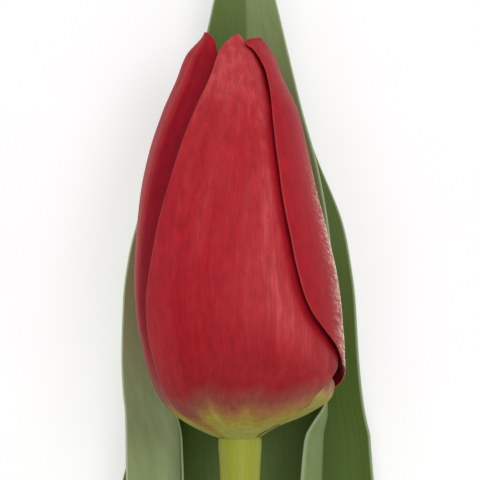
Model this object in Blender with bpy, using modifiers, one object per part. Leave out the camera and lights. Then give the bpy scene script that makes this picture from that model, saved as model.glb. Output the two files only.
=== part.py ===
"""One cut tulip lying on its leaves, in metres: the bud points along +Y and the floor is z = 0.

Every blade (tepal or leaf) is a grid laid on a surface and thickened with Solidify. The tepals lie
on one bud-shaped surface, each lifted in or out of it by whole layers, so that they lap without
touching. The leaves are swept along the stem: wrapped round it at their base, open further up.
"""
import math

import bmesh
import bpy
from mathutils import Matrix, Vector

MM = 0.001

# Driving dimensions, in metres
STEM_LENGTH = 0.265
STEM_TOP_RADIUS = 0.0031
STEM_CUT_RADIUS = 0.0038
STEM_SWELL = 0.00035
STEM_SWELL_LENGTH = 0.007
BUD_LENGTH = 0.064
BUD_HALF_WIDTH = 0.0165
BUD_HALF_DEPTH = 0.0152
TEPAL_THICKNESS = 0.0006
LEAF_THICKNESS = 0.0008
CLEARANCE = 0.0003

# What follows from them
TEPAL_LAYER = TEPAL_THICKNESS + CLEARANCE * 2
LEAF_LAYER = LEAF_THICKNESS + CLEARANCE + 0.0002
FLOOR_LEAF = LEAF_THICKNESS / 2
SECOND_LEAF = FLOOR_LEAF + LEAF_LAYER
BUD_HEIGHT = SECOND_LEAF + LEAF_LAYER + TEPAL_LAYER + BUD_HALF_DEPTH
NECK_RADIUS = 0.18 * BUD_HALF_WIDTH - TEPAL_THICKNESS / 2 - CLEARANCE

# Mesh fineness
TEPAL_ROWS = 12
TEPAL_COLUMNS = 8
LEAF_ROWS = 22
LEAF_COLUMNS = 10
CURL_STEPS = 8
END_CROWDING = 0.5
ROUND_SEGMENTS = 12

# Bud outline. Each row: share of the bud's length, then the reach to the left and to the right as
# shares of the half width, and the reach to the front and back as a share of the half depth.
BUD_OUTLINE = (
    (0.000, 0.18, 0.18, 0.20),
    (0.012, 0.29, 0.24, 0.29),
    (0.040, 0.51, 0.45, 0.54),
    (0.064, 0.64, 0.65, 0.72),
    (0.100, 0.76, 0.86, 0.87),
    (0.150, 0.85, 0.945, 0.95),
    (0.220, 0.92, 0.955, 0.98),
    (0.300, 0.98, 0.945, 1.00),
    (0.400, 1.00, 0.90, 0.98),
    (0.500, 0.98, 0.82, 0.93),
    (0.600, 0.94, 0.72, 0.86),
    (0.700, 0.86, 0.63, 0.76),
    (0.800, 0.73, 0.54, 0.64),
    (0.880, 0.59, 0.40, 0.51),
    (0.940, 0.49, 0.30, 0.41),
    (1.000, 0.32, 0.18, 0.29),
)

# Tepals. Each row: share of the bud's length, the angles of the left and right margins in degrees
# (0 at the front, 90 at the right), and the lift of the left margin, middle and right margin in
# layers.
TEPALS = {
    "front_tepal": (
        (0.000, -46, 48, 0.1, 0.1, 0.1),
        (0.038, -53, 54, 0.2, 0.1, 0.2),
        (0.062, -56, 52, 0.4, 0.2, 0.3),
        (0.104, -56, 50, 0.7, 0.2, 0.6),
        (0.150, -56.5, 62, 0.9, 0.3, 0.5),
        (0.178, -57, 73, 0.9, 0.3, 0.2),
        (0.205, -58, 76, 0.9, 0.3, 0.0),
        (0.240, -59, 75, 0.9, 0.3, -0.4),
        (0.324, -58.5, 67, 0.8, 0.3, -0.7),
        (0.416, -54.5, 61, 0.8, 0.3, -0.7),
        (0.520, -49.5, 58, 0.8, 0.2, -0.7),
        (0.611, -44, 57, 0.8, 0.2, -0.7),
        (0.725, -38.5, 55, 0.8, 0.2, -0.7),
        (0.830, -32, 55, 0.7, 0.1, -0.7),
        (0.900, -26.5, 52, 0.6, 0.1, -0.6),
        (0.938, -24.5, 43, 0.5, 0.1, -0.5),
        (0.962, -22, 30, 0.4, 0.1, -0.3),
        (0.980, -17, 11, 0.2, 0.0, -0.1),
        (0.990, -11, 3, 0.1, 0.0, 0.0),
        (0.995, -7, -3, 0.0, 0.0, 0.0),
    ),
    "right_tepal": (
        (0.000, 100, 150, 0.1, 0.1, 0.1),
        (0.030, 108, 156, 0.2, 0.1, 0.1),
        (0.080, 114, 160, 0.4, 0.2, 0.1),
        (0.115, 113, 163, 0.5, 0.2, 0.1),
        (0.145, 101, 164, 0.9, 0.4, 0.1),
        (0.165, 89, 165, 0.9, 0.4, 0.1),
        (0.185, 79, 165, 0.8, 0.4, 0.1),
        (0.203, 73, 165, 0.8, 0.3, 0.1),
        (0.225, 66, 165, 0.9, 0.3, 0.1),
        (0.264, 53, 166, 1.1, 0.2, 0.1),
        (0.317, 41.5, 166, 1.1, 0.2, 0.1),
        (0.385, 35.5, 166, 1.1, 0.2, 0.1),
        (0.476, 32, 165, 1.1, 0.1, 0.1),
        (0.610, 30, 163, 1.1, 0.1, 0.1),
        (0.760, 29, 158, 1.1, 0.1, 0.1),
        (0.850, 32, 152, 1.1, 0.1, 0.1),
        (0.890, 33, 146, 1.1, 0.1, 0.1),
        (0.926, 29, 134, 1.0, 0.2, 0.1),
        (0.950, 20, 118, 1.0, 0.2, 0.1),
        (0.963, 11, 104, 0.9, 0.3, 0.1),
        (0.971, 11, 92, 0.8, 0.3, 0.2),
        (0.978, 24, 78, 0.7, 0.3, 0.2),
        (0.982, 44, 62, 0.6, 0.4, 0.3),
    ),
    "left_tepal": (
        (0.000, -152, -60, 0.1, 0.1, 0.0),
        (0.050, -158, -60, 0.1, 0.1, -0.6),
        (0.120, -163, -54, 0.1, 0.1, -1.1),
        (0.300, -166, -45, 0.1, 0.0, -1.1),
        (0.500, -165, -38, 0.1, 0.0, -1.1),
        (0.700, -160, -29, 0.1, 0.0, -1.1),
        (0.880, -146, -24, 0.1, 0.1, -1.1),
        (0.940, -130, -28, 0.1, 0.2, -1.0),
        (0.975, -112, -42, 0.1, 0.2, -0.6),
        (0.992, -95, -58, 0.1, 0.2, -0.1),
        (1.000, -83, -70, 0.1, 0.2, 0.1),
    ),
    "inner_right_tepal": (
        (0.030, 12, 92, -1.0, -0.8, 0.1),
        (0.060, 9, 97, -1.2, -0.9, 0.3),
        (0.100, 7, 97, -1.3, -0.9, 0.3),
        (0.125, 5, 91, -1.3, -1.0, -0.2),
        (0.150, 5, 84, -1.3, -1.2, -0.9),
        (0.190, 5, 89, -1.3, -1.5, -1.1),
        (0.240, 5, 107, -1.3, -1.7, -1.2),
        (0.320, 5, 109, -1.3, -2.1, -1.2),
        (0.600, 6, 106, -1.3, -2.1, -1.2),
        (0.800, 12, 98, -1.3, -2.1, -1.2),
        (0.900, 24, 84, -1.5, -2.1, -1.5),
        (0.955, 44, 66, -2.2, -2.4, -2.2),
    ),
    "inner_left_tepal": (
        (0.030, -98, -12, -1.3, -1.6, -1.2),
        (0.100, -104, -7, -1.4, -2.3, -1.3),
        (0.300, -106, -5, -1.3, -2.3, -1.3),
        (0.600, -102, -6, -1.3, -2.3, -1.6),
        (0.800, -90, -12, -1.4, -2.5, -2.3),
        (0.900, -74, -22, -2.0, -3.0, -2.6),
        (0.965, -58, -38, -3.4, -3.6, -3.4),
    ),
    "inner_back_tepal": (
        (0.030, 132, 228, -1.1, -1.1, -1.1),
        (0.100, 124, 236, -1.4, -1.2, -1.4),
        (0.300, 120, 240, -1.5, -1.2, -1.5),
        (0.600, 122, 238, -1.5, -1.2, -1.5),
        (0.800, 132, 228, -1.6, -1.3, -1.6),
        (0.900, 147, 212, -2.0, -1.9, -2.0),
        (0.965, 170, 190, -3.1, -3.1, -3.1),
    ),
}

# Leaves. Each row: place along the flower (below zero a share of the stem's length under the bud,
# above zero a share of the bud's length), how far the leaf is held to the stem (1 wrapped round it,
# 0 free), the free keel's side place and height above the lowest leaf in mm, the widths left and
# right of the keel in mm, the roll in degrees, the bend of the left and right halves in degrees,
# and the bend's power (1 bends evenly, 2 bends most at the margin).
LEAVES = {
    "tall_leaf": (
        (-0.528, 1.00, 0.0, 0.0, 12, 12, 0, 150, 150, 1.0),
        (-0.460, 0.80, 0.0, 1.6, 14, 15, 0, 125, 125, 1.0),
        (-0.330, 0.30, 0.3, 1.6, 16, 19, 0, 105, 135, 1.3),
        (-0.150, 0.05, 0.6, 1.5, 16, 21, 0, 115, 168, 1.8),
        (-0.045, 0.00, 0.6, 1.5, 14, 21.5, 0, 111, 170, 2.0),
        (0.040, 0.00, 0.6, 1.5, 14.2, 21, 0, 98, 142, 2.0),
        (0.090, 0.00, 0.6, 1.5, 14.6, 18, 0, 78, 100, 2.0),
        (0.140, 0.00, 0.6, 1.5, 15, 16.8, 0, 70, 78, 2.0),
        (0.250, 0.00, 0.6, 1.5, 15.5, 16.5, 0, 60, 65, 2.0),
        (0.450, 0.00, 0.6, 1.5, 15.2, 15.2, 0, 50, 50, 2.0),
        (0.650, 0.00, 0.6, 1.8, 12.9, 12.9, 0, 40, 40, 1.6),
        (0.830, 0.00, 0.6, 3.2, 9.1, 9.6, 0, 35, 35, 1.2),
        (1.080, 0.00, 0.5, 6.4, 5.0, 5.6, 0, 30, 30, 0.9),
        (1.250, 0.00, 0.5, 8.4, 2.6, 2.6, 0, 25, 25, 0.9),
        (1.420, 0.00, 0.4, 9.8, 0.5, 0.5, 0, 20, 20, 0.9),
    ),
    "right_leaf": (
        (-0.717, 1.00, 0.0, 0.0, 12, 12, 40, 100, 135, 1.0),
        (-0.690, 0.90, 6.0, 1.5, 11, 14, 39, 80, 115, 1.0),
        (-0.660, 0.70, 7.5, 1.0, 10, 16, 32, 45, 90, 1.1),
        (-0.600, 0.30, 9.0, 0.7, 9, 18, 14, 18, 60, 1.3),
        (-0.500, 0.08, 9.0, 0.2, 9, 20, 3, 5, 45, 1.7),
        (-0.300, 0.00, 9.0, 0.0, 9, 21, 0, 2, 35, 2.0),
        (-0.120, 0.00, 9.0, 0.0, 9, 18, 0, 2, 35, 2.0),
        (-0.026, 0.00, 8.0, 0.0, 9, 13.9, 0, 2, 32, 2.0),
        (0.055, 0.00, 7.3, 0.0, 9, 13.2, 0, 2, 31, 2.0),
        (0.120, 0.00, 7.0, 0.0, 9, 12.9, 0, 2, 30, 2.0),
        (0.200, 0.00, 6.8, 0.0, 9, 12.6, 0, 2, 28, 2.0),
        (0.340, 0.00, 6.7, 0.0, 9, 12.1, 0, 2, 25, 2.0),
        (0.430, 0.00, 6.8, 0.0, 8.5, 11.2, 0, 2, 22, 2.0),
        (0.530, 0.00, 7.0, 0.0, 7.6, 9.7, 0, 2, 20, 2.0),
        (0.690, 0.00, 7.0, 0.0, 5.0, 5.6, 0, 2, 15, 1.5),
        (0.800, 0.00, 7.0, 0.0, 2.7, 2.9, 0, 2, 10, 1.2),
        (0.900, 0.00, 7.0, 0.0, 0.5, 0.5, 0, 2, 5, 1.0),
    ),
    "left_leaf": (
        (-0.623, 1.00, 0.0, 0.0, 12, 12, -90, 140, 140, 1.0),
        (-0.575, 0.80, -10.0, 7.0, 13, 12, -88, 95, 105, 1.0),
        (-0.530, 0.55, -12.0, 6.5, 13, 12, -84, 75, 95, 1.0),
        (-0.470, 0.33, -13.5, 6.0, 16, 12, -78, 78, 90, 0.9),
        (-0.330, 0.08, -15.0, 4.9, 18, 10, -66, 78, 80, 0.9),
        (-0.200, 0.02, -14.2, 4.8, 14, 6.6, -50, 58, 62, 1.0),
        (-0.100, 0.00, -13.7, 4.2, 10, 5.4, -40, 44, 50, 1.0),
        (-0.026, 0.00, -13.5, 3.6, 7.2, 4.8, -32, 34, 44, 1.0),
        (0.055, 0.00, -13.5, 3.0, 6.8, 4.6, -29, 30, 42, 1.0),
        (0.110, 0.00, -13.6, 2.7, 7.0, 4.6, -28, 29, 40, 1.0),
        (0.190, 0.00, -13.7, 2.4, 7.1, 4.6, -28, 28, 40, 1.0),
        (0.340, 0.00, -13.5, 2.2, 7.0, 4.4, -28, 28, 40, 1.0),
        (0.440, 0.00, -13.0, 2.1, 6.6, 4.2, -28, 28, 40, 1.0),
        (0.550, 0.00, -12.2, 2.1, 5.3, 4.0, -28, 28, 38, 1.0),
        (0.680, 0.00, -11.0, 2.2, 3.0, 3.0, -28, 26, 36, 1.0),
        (0.780, 0.00, -10.2, 2.2, 0.5, 0.5, -33, 25, 30, 1.0),
    ),
    "low_leaf": (
        (-0.774, 1.00, 0.0, 0.0, 12, 12, -60, 125, 120, 1.0),
        (-0.740, 0.75, -9.0, 3.0, 12, 6, -60, 90, 55, 1.0),
        (-0.700, 0.45, -11.0, 2.0, 14, 6, -44, 75, 40, 1.0),
        (-0.650, 0.20, -12.0, 0.9, 17, 7, -18, 52, 16, 1.3),
        (-0.550, 0.03, -13.0, 0.1, 18, 8, -2, 38, 4, 1.7),
        (-0.350, 0.00, -14.5, 0.0, 17, 9, 0, 30, 2, 2.0),
        (-0.150, 0.00, -16.0, 0.0, 11, 8, 0, 25, 2, 2.0),
        (-0.026, 0.00, -15.0, 0.0, 3.8, 3.8, 0, 15, 2, 2.0),
        (0.040, 0.00, -14.3, 0.0, 0.5, 0.5, 0, 5, 2, 1.0),
    ),
}

# Pistil outline and one stamen's outline, each row: height from its foot, and radius, in mm
PISTIL_OUTLINE = (
    (0.0, 1.9), (2.0, 2.3), (12.0, 2.5), (19.0, 2.0), (20.5, 2.1), (22.0, 3.0), (23.4, 2.7), (24.2, 1.2),
)
STAMEN_OUTLINE = (
    (0.0, 0.6), (7.0, 0.7), (9.0, 0.45), (10.2, 1.0), (12.0, 1.35), (20.0, 1.2), (22.5, 0.6),
)
STAMEN_COUNT = 6
STAMEN_RING = 0.0052
STAMEN_SEGMENTS = 8

COLOURS = {
    "tepal_red": (0.42, 0.03, 0.04, 1.0),
    "leaf_green": (0.12, 0.21, 0.07, 1.0),
    "stem_green": (0.30, 0.34, 0.06, 1.0),
    "pistil_yellow": (0.48, 0.50, 0.16, 1.0),
    "stamen_dark": (0.03, 0.02, 0.04, 1.0),
}


def read_rows(rows, key):
    """Read every column of a table at one key, on smooth curves that never overshoot a row."""
    key = min(max(key, rows[0][0]), rows[-1][0])
    last = len(rows) - 1
    low = max(i for i in range(last) if rows[i][0] <= key)
    gap = rows[low + 1][0] - rows[low][0]
    t = (key - rows[low][0]) / gap

    def slope(i, column):
        if i == 0 or i == last:
            return 0.0
        before = (rows[i][column] - rows[i - 1][column]) / (rows[i][0] - rows[i - 1][0])
        after = (rows[i + 1][column] - rows[i][column]) / (rows[i + 1][0] - rows[i][0])
        return 0.0 if before * after <= 0 else 2 * before * after / (before + after)

    values = []
    for column in range(1, len(rows[0])):
        start, end = rows[low][column], rows[low + 1][column]
        rise_in = slope(low, column) * gap
        rise_out = slope(low + 1, column) * gap
        values.append(
            (2 * t**3 - 3 * t**2 + 1) * start
            + (t**3 - 2 * t**2 + t) * rise_in
            + (3 * t**2 - 2 * t**3) * end
            + (t**3 - t**2) * rise_out
        )
    return values


def mix(a, b, share):
    return a + (b - a) * share


def stem_height(y):
    """Height of the stem's axis: level at the bud and level again at the cut end."""
    t = min(max(1 + y / STEM_LENGTH, 0.0), 1.0)
    return mix(STEM_CUT_RADIUS, BUD_HEIGHT, t * t * (3 - 2 * t))


def stem_radius(y):
    return mix(STEM_CUT_RADIUS, STEM_TOP_RADIUS, min(max(1 + y / STEM_LENGTH, 0.0), 1.0))


def bud_surface(share, angle):
    left, right, depth = read_rows(BUD_OUTLINE, share)
    side = (right if math.sin(angle) >= 0 else left) * BUD_HALF_WIDTH
    return Vector((
        side * math.sin(angle),
        share * BUD_LENGTH,
        BUD_HEIGHT + depth * BUD_HALF_DEPTH * math.cos(angle),
    ))


def bud_normal(share, angle):
    step = 0.004
    low, high = max(share - step, 0.0), min(share + step, 1.0)
    along = bud_surface(high, angle) - bud_surface(low, angle)
    around = bud_surface(share, angle + 0.02) - bud_surface(share, angle - 0.02)
    return around.cross(along).normalized()


def tepal_point(rows, share, u):
    """A point of a tepal: share of the bud's length, and u from -1 (left) to 1 (right margin)."""
    left, right, lift_left, lift_middle, lift_right = read_rows(rows, share)
    angle = math.radians(mix(left, right, (u + 1) / 2))
    lift = mix(lift_middle, lift_left if u < 0 else lift_right, u * u)
    return bud_surface(share, angle) + bud_normal(share, angle) * lift * TEPAL_LAYER


def leaf_point(rows, place, u):
    """A point of a leaf: place along the flower, and u from -1 (left) to 1 (right margin)."""
    hold, x, height, left, right, roll, bend_left, bend_right, power = read_rows(rows, place)
    y = place * (STEM_LENGTH if place < 0 else BUD_LENGTH)
    sheath = stem_radius(y) + CLEARANCE * 2 + LEAF_THICKNESS / 2
    turn = math.radians(roll)
    keel_x = mix(x * MM, sheath * math.sin(turn), hold)
    keel_z = mix(FLOOR_LEAF + height * MM, stem_height(y) - sheath * math.cos(turn), hold)
    side = -1 if u < 0 else 1
    bend = math.radians(bend_left if u < 0 else bend_right)
    width = mix((left if u < 0 else right) * MM, sheath * bend, hold)
    across, up = 0.0, 0.0
    for i in range(CURL_STEPS):
        reach = abs(u) * (i + 0.5) / CURL_STEPS
        slope = side * turn + bend * reach**power
        across += math.cos(slope) * abs(u) * width / CURL_STEPS
        up += math.sin(slope) * abs(u) * width / CURL_STEPS
    return Vector((keel_x + side * across, y, keel_z + up))


def new_object(name, mesh, material):
    mesh.materials.append(bpy.data.materials[material])
    part = bpy.data.objects.new(name, mesh)
    collection.objects.link(part)
    return part


def blade(name, point, first, last, rows, columns, thickness, material):
    """A grid laid on point(place, u) from its base to its tip, closer there, then thickened."""
    sheet = bmesh.new()
    bmesh.ops.create_grid(sheet, x_segments=columns, y_segments=rows, size=1.0)
    for vertex in sheet.verts:
        u, climb = vertex.co.x, (vertex.co.y + 1) / 2
        climb = mix(climb, climb * climb * (3 - 2 * climb), END_CROWDING)
        vertex.co = point(mix(first, last, climb), u)
    bmesh.ops.recalc_face_normals(sheet, faces=sheet.faces)
    mesh = bpy.data.meshes.new(name)
    sheet.to_mesh(mesh)
    sheet.free()
    part = new_object(name, mesh, material)
    shell = part.modifiers.new("Thickness", "SOLIDIFY")
    shell.thickness = thickness
    shell.offset = 0.0
    return part


def turned(name, outline, foot, lean, segments, material):
    """A round piece: an outline of (height, radius) turned about its own axis, from its foot."""
    solid = bmesh.new()
    heights = [height * MM for height, radius in outline]
    ends = [(heights[0], 0.0)] + [(h, r * MM) for h, (_, r) in zip(heights, outline)]
    ends.append((heights[-1] + outline[-1][1] * MM / 2, 0.0))
    line = [solid.verts.new((radius, height, 0.0)) for height, radius in ends]
    edges = [solid.edges.new(pair) for pair in zip(line, line[1:])]
    bmesh.ops.spin(
        solid, geom=line + edges, cent=(0, 0, 0), axis=(0, 1, 0), angle=math.tau,
        steps=segments, use_merge=True,
    )
    bmesh.ops.remove_doubles(solid, verts=solid.verts, dist=MM / 100)
    bmesh.ops.recalc_face_normals(solid, faces=solid.faces)
    for vertex in solid.verts:
        vertex.co = foot + lean @ vertex.co
    mesh = bpy.data.meshes.new(name)
    solid.to_mesh(mesh)
    solid.free()
    return new_object(name, mesh, material)


def make_stem():
    """The stem and its receptacle, a round bevelled curve from the cut end into the bud."""
    path = bpy.data.curves.new("stem", "CURVE")
    path.dimensions = "3D"
    path.bevel_depth = STEM_TOP_RADIUS
    path.bevel_resolution = (ROUND_SEGMENTS - 4) // 4
    path.resolution_u = 1
    path.use_fill_caps = True
    stations = [-STEM_LENGTH * (1 - i / 14) for i in range(14)]
    places = [(y, stem_radius(y)) for y in stations]
    places += [
        (-STEM_SWELL_LENGTH, stem_radius(-STEM_SWELL_LENGTH)),
        (-STEM_SWELL_LENGTH / 3, STEM_TOP_RADIUS + STEM_SWELL * 0.8),
        (-TEPAL_THICKNESS / 2 - CLEARANCE * 2, STEM_TOP_RADIUS + STEM_SWELL),
        (-TEPAL_THICKNESS / 2 - CLEARANCE, NECK_RADIUS),
        (0.030 * BUD_LENGTH, NECK_RADIUS),
        (0.045 * BUD_LENGTH, NECK_RADIUS * 0.8),
    ]
    line = path.splines.new("POLY")
    line.points.add(len(places) - 1)
    for point, (y, radius) in zip(line.points, places):
        point.co = (0.0, y, stem_height(y), 1.0)
        point.radius = radius / STEM_TOP_RADIUS
    rod = bpy.data.objects.new("stem_path", path)
    collection.objects.link(rod)
    bpy.context.view_layer.update()
    mesh = bpy.data.meshes.new_from_object(rod.evaluated_get(bpy.context.evaluated_depsgraph_get()))
    bpy.data.objects.remove(rod)
    solid = bmesh.new()
    solid.from_mesh(mesh)
    bmesh.ops.remove_doubles(solid, verts=solid.verts, dist=MM / 100)
    bmesh.ops.recalc_face_normals(solid, faces=solid.faces)
    solid.to_mesh(mesh)
    solid.free()
    mesh.name = "stem"
    return new_object("stem", mesh, "stem_green")


def make_flower():
    for name, rows in TEPALS.items():
        blade(
            name, lambda place, u, rows=rows: tepal_point(rows, place, u), rows[0][0], rows[-1][0],
            TEPAL_ROWS, TEPAL_COLUMNS, TEPAL_THICKNESS, "tepal_red",
        )
    foot = Vector((0.0, 0.045 * BUD_LENGTH + CLEARANCE, BUD_HEIGHT))
    turned("pistil", PISTIL_OUTLINE, foot, Matrix.Identity(3), ROUND_SEGMENTS, "pistil_yellow")
    for i in range(STAMEN_COUNT):
        angle = math.tau * (i + 0.5) / STAMEN_COUNT
        outward = Vector((math.sin(angle), 0.0, math.cos(angle)))
        lean = Vector((0, 1, 0)).rotation_difference(Vector((0, 1, 0)) + outward * 0.08).to_matrix()
        turned(
            f"stamen_{i + 1}", STAMEN_OUTLINE, foot + outward * STAMEN_RING + Vector((0, 1.5 * MM, 0)),
            lean, STAMEN_SEGMENTS, "stamen_dark",
        )


def make_leaves():
    for name, rows in LEAVES.items():
        blade(
            name, lambda place, u, rows=rows: leaf_point(rows, place, u), rows[0][0], rows[-1][0],
            LEAF_ROWS, LEAF_COLUMNS, LEAF_THICKNESS, "leaf_green",
        )


def seat_on_floor():
    """Move every piece so that the flower's box is centred on the origin and stands on the floor."""
    bpy.context.view_layer.update()
    graph = bpy.context.evaluated_depsgraph_get()
    corners = [
        Vector(corner) for part in collection.objects for corner in part.evaluated_get(graph).bound_box
    ]
    low = Vector(min(corner[i] for corner in corners) for i in range(3))
    high = Vector(max(corner[i] for corner in corners) for i in range(3))
    shift = Vector(((low.x + high.x) / -2, (low.y + high.y) / -2, -low.z))
    for part in collection.objects:
        for vertex in part.data.vertices:
            vertex.co += shift


for leftover in list(bpy.data.objects):
    bpy.data.objects.remove(leftover)
collection = bpy.data.collections.new("cut_tulip")
bpy.context.scene.collection.children.link(collection)
for colour_name, colour in COLOURS.items():
    paint = bpy.data.materials.new(colour_name)
    paint.use_nodes = True
    paint.node_tree.nodes["Principled BSDF"].inputs["Base Color"].default_value = colour
    paint.node_tree.nodes["Principled BSDF"].inputs["Roughness"].default_value = 0.55
    paint.diffuse_color = colour
make_stem()
make_flower()
make_leaves()
seat_on_floor()
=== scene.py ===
"""The finish of a cut tulip that lies on its leaves: petals, leaves, stem and heart, floor and light."""
import math

import bpy
import numpy as np
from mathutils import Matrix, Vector


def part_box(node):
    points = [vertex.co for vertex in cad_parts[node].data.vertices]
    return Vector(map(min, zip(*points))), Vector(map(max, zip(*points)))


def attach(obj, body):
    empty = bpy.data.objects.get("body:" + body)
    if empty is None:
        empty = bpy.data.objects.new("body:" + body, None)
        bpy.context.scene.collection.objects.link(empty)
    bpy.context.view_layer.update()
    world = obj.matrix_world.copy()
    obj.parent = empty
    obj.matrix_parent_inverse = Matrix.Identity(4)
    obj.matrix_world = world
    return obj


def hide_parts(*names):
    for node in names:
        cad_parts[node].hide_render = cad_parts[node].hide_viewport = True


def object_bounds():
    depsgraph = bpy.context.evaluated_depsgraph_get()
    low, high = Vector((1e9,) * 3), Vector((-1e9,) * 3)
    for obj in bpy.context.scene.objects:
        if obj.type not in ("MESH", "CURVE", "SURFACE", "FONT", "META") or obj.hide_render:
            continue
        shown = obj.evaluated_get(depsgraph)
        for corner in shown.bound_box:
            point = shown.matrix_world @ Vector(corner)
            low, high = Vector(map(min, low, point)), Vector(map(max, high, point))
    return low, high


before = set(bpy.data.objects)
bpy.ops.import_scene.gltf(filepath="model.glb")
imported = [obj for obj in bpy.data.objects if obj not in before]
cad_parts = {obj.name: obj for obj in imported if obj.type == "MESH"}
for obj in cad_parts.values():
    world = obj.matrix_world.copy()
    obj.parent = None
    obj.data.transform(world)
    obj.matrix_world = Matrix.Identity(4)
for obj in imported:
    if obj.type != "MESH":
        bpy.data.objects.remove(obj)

bl_info = {
    "name": "Cut tulip",
    "version": (1, 0, 0),
    "blender": (4, 5, 0),
    "location": "3D View > Sidebar > Tulip",
    "description": "Models and finishes a cut tulip round its packed solids",
    "category": "Object",
}

MM = 0.001
FLESH_DEPTH = 0.0008  # how far light goes into a petal, a leaf or the stem
CAD_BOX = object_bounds()
STEM_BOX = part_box("stem")

# Sizes of the solids that the finish follows, in metres
STEM_LENGTH = 0.265
STEM_TOP_RADIUS = 0.0031
STEM_CUT_RADIUS = 0.0038
STEM_SWELL = 0.00035
STEM_SWELL_LENGTH = 0.007
BUD_LENGTH = 0.064
BUD_HALF_WIDTH = 0.0165
BUD_HALF_DEPTH = 0.0152
TEPAL_THICKNESS = 0.0006
LEAF_THICKNESS = 0.0008
CLEARANCE = 0.0003
TEPAL_LAYER = TEPAL_THICKNESS + CLEARANCE * 2
LEAF_LAYER = LEAF_THICKNESS + CLEARANCE + 0.0002
FLOOR_LEAF = LEAF_THICKNESS / 2
BUD_HEIGHT = FLOOR_LEAF + 2 * LEAF_LAYER + TEPAL_LAYER + BUD_HALF_DEPTH

# The tables below are laid out from the bud's base, which is here in the frame
BUD_BASE = Vector((
    (STEM_BOX[0].x + STEM_BOX[1].x) / 2,
    STEM_BOX[0].y + STEM_LENGTH,
    CAD_BOX[0].z,
))

# Bud outline. Each row: share of the bud's length, then the reach to the left and to the right as
# shares of the half width, and the reach to the front and back as a share of the half depth.
BUD_OUTLINE = (
    (0.000, 0.18, 0.18, 0.20),
    (0.012, 0.29, 0.24, 0.29),
    (0.040, 0.51, 0.45, 0.54),
    (0.064, 0.64, 0.65, 0.72),
    (0.100, 0.76, 0.86, 0.87),
    (0.150, 0.85, 0.945, 0.95),
    (0.220, 0.92, 0.955, 0.98),
    (0.300, 0.98, 0.945, 1.00),
    (0.400, 1.00, 0.90, 0.98),
    (0.500, 0.98, 0.82, 0.93),
    (0.600, 0.94, 0.72, 0.86),
    (0.700, 0.86, 0.63, 0.76),
    (0.800, 0.73, 0.54, 0.64),
    (0.880, 0.59, 0.40, 0.51),
    (0.940, 0.49, 0.30, 0.41),
    (1.000, 0.32, 0.18, 0.29),
)

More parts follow.
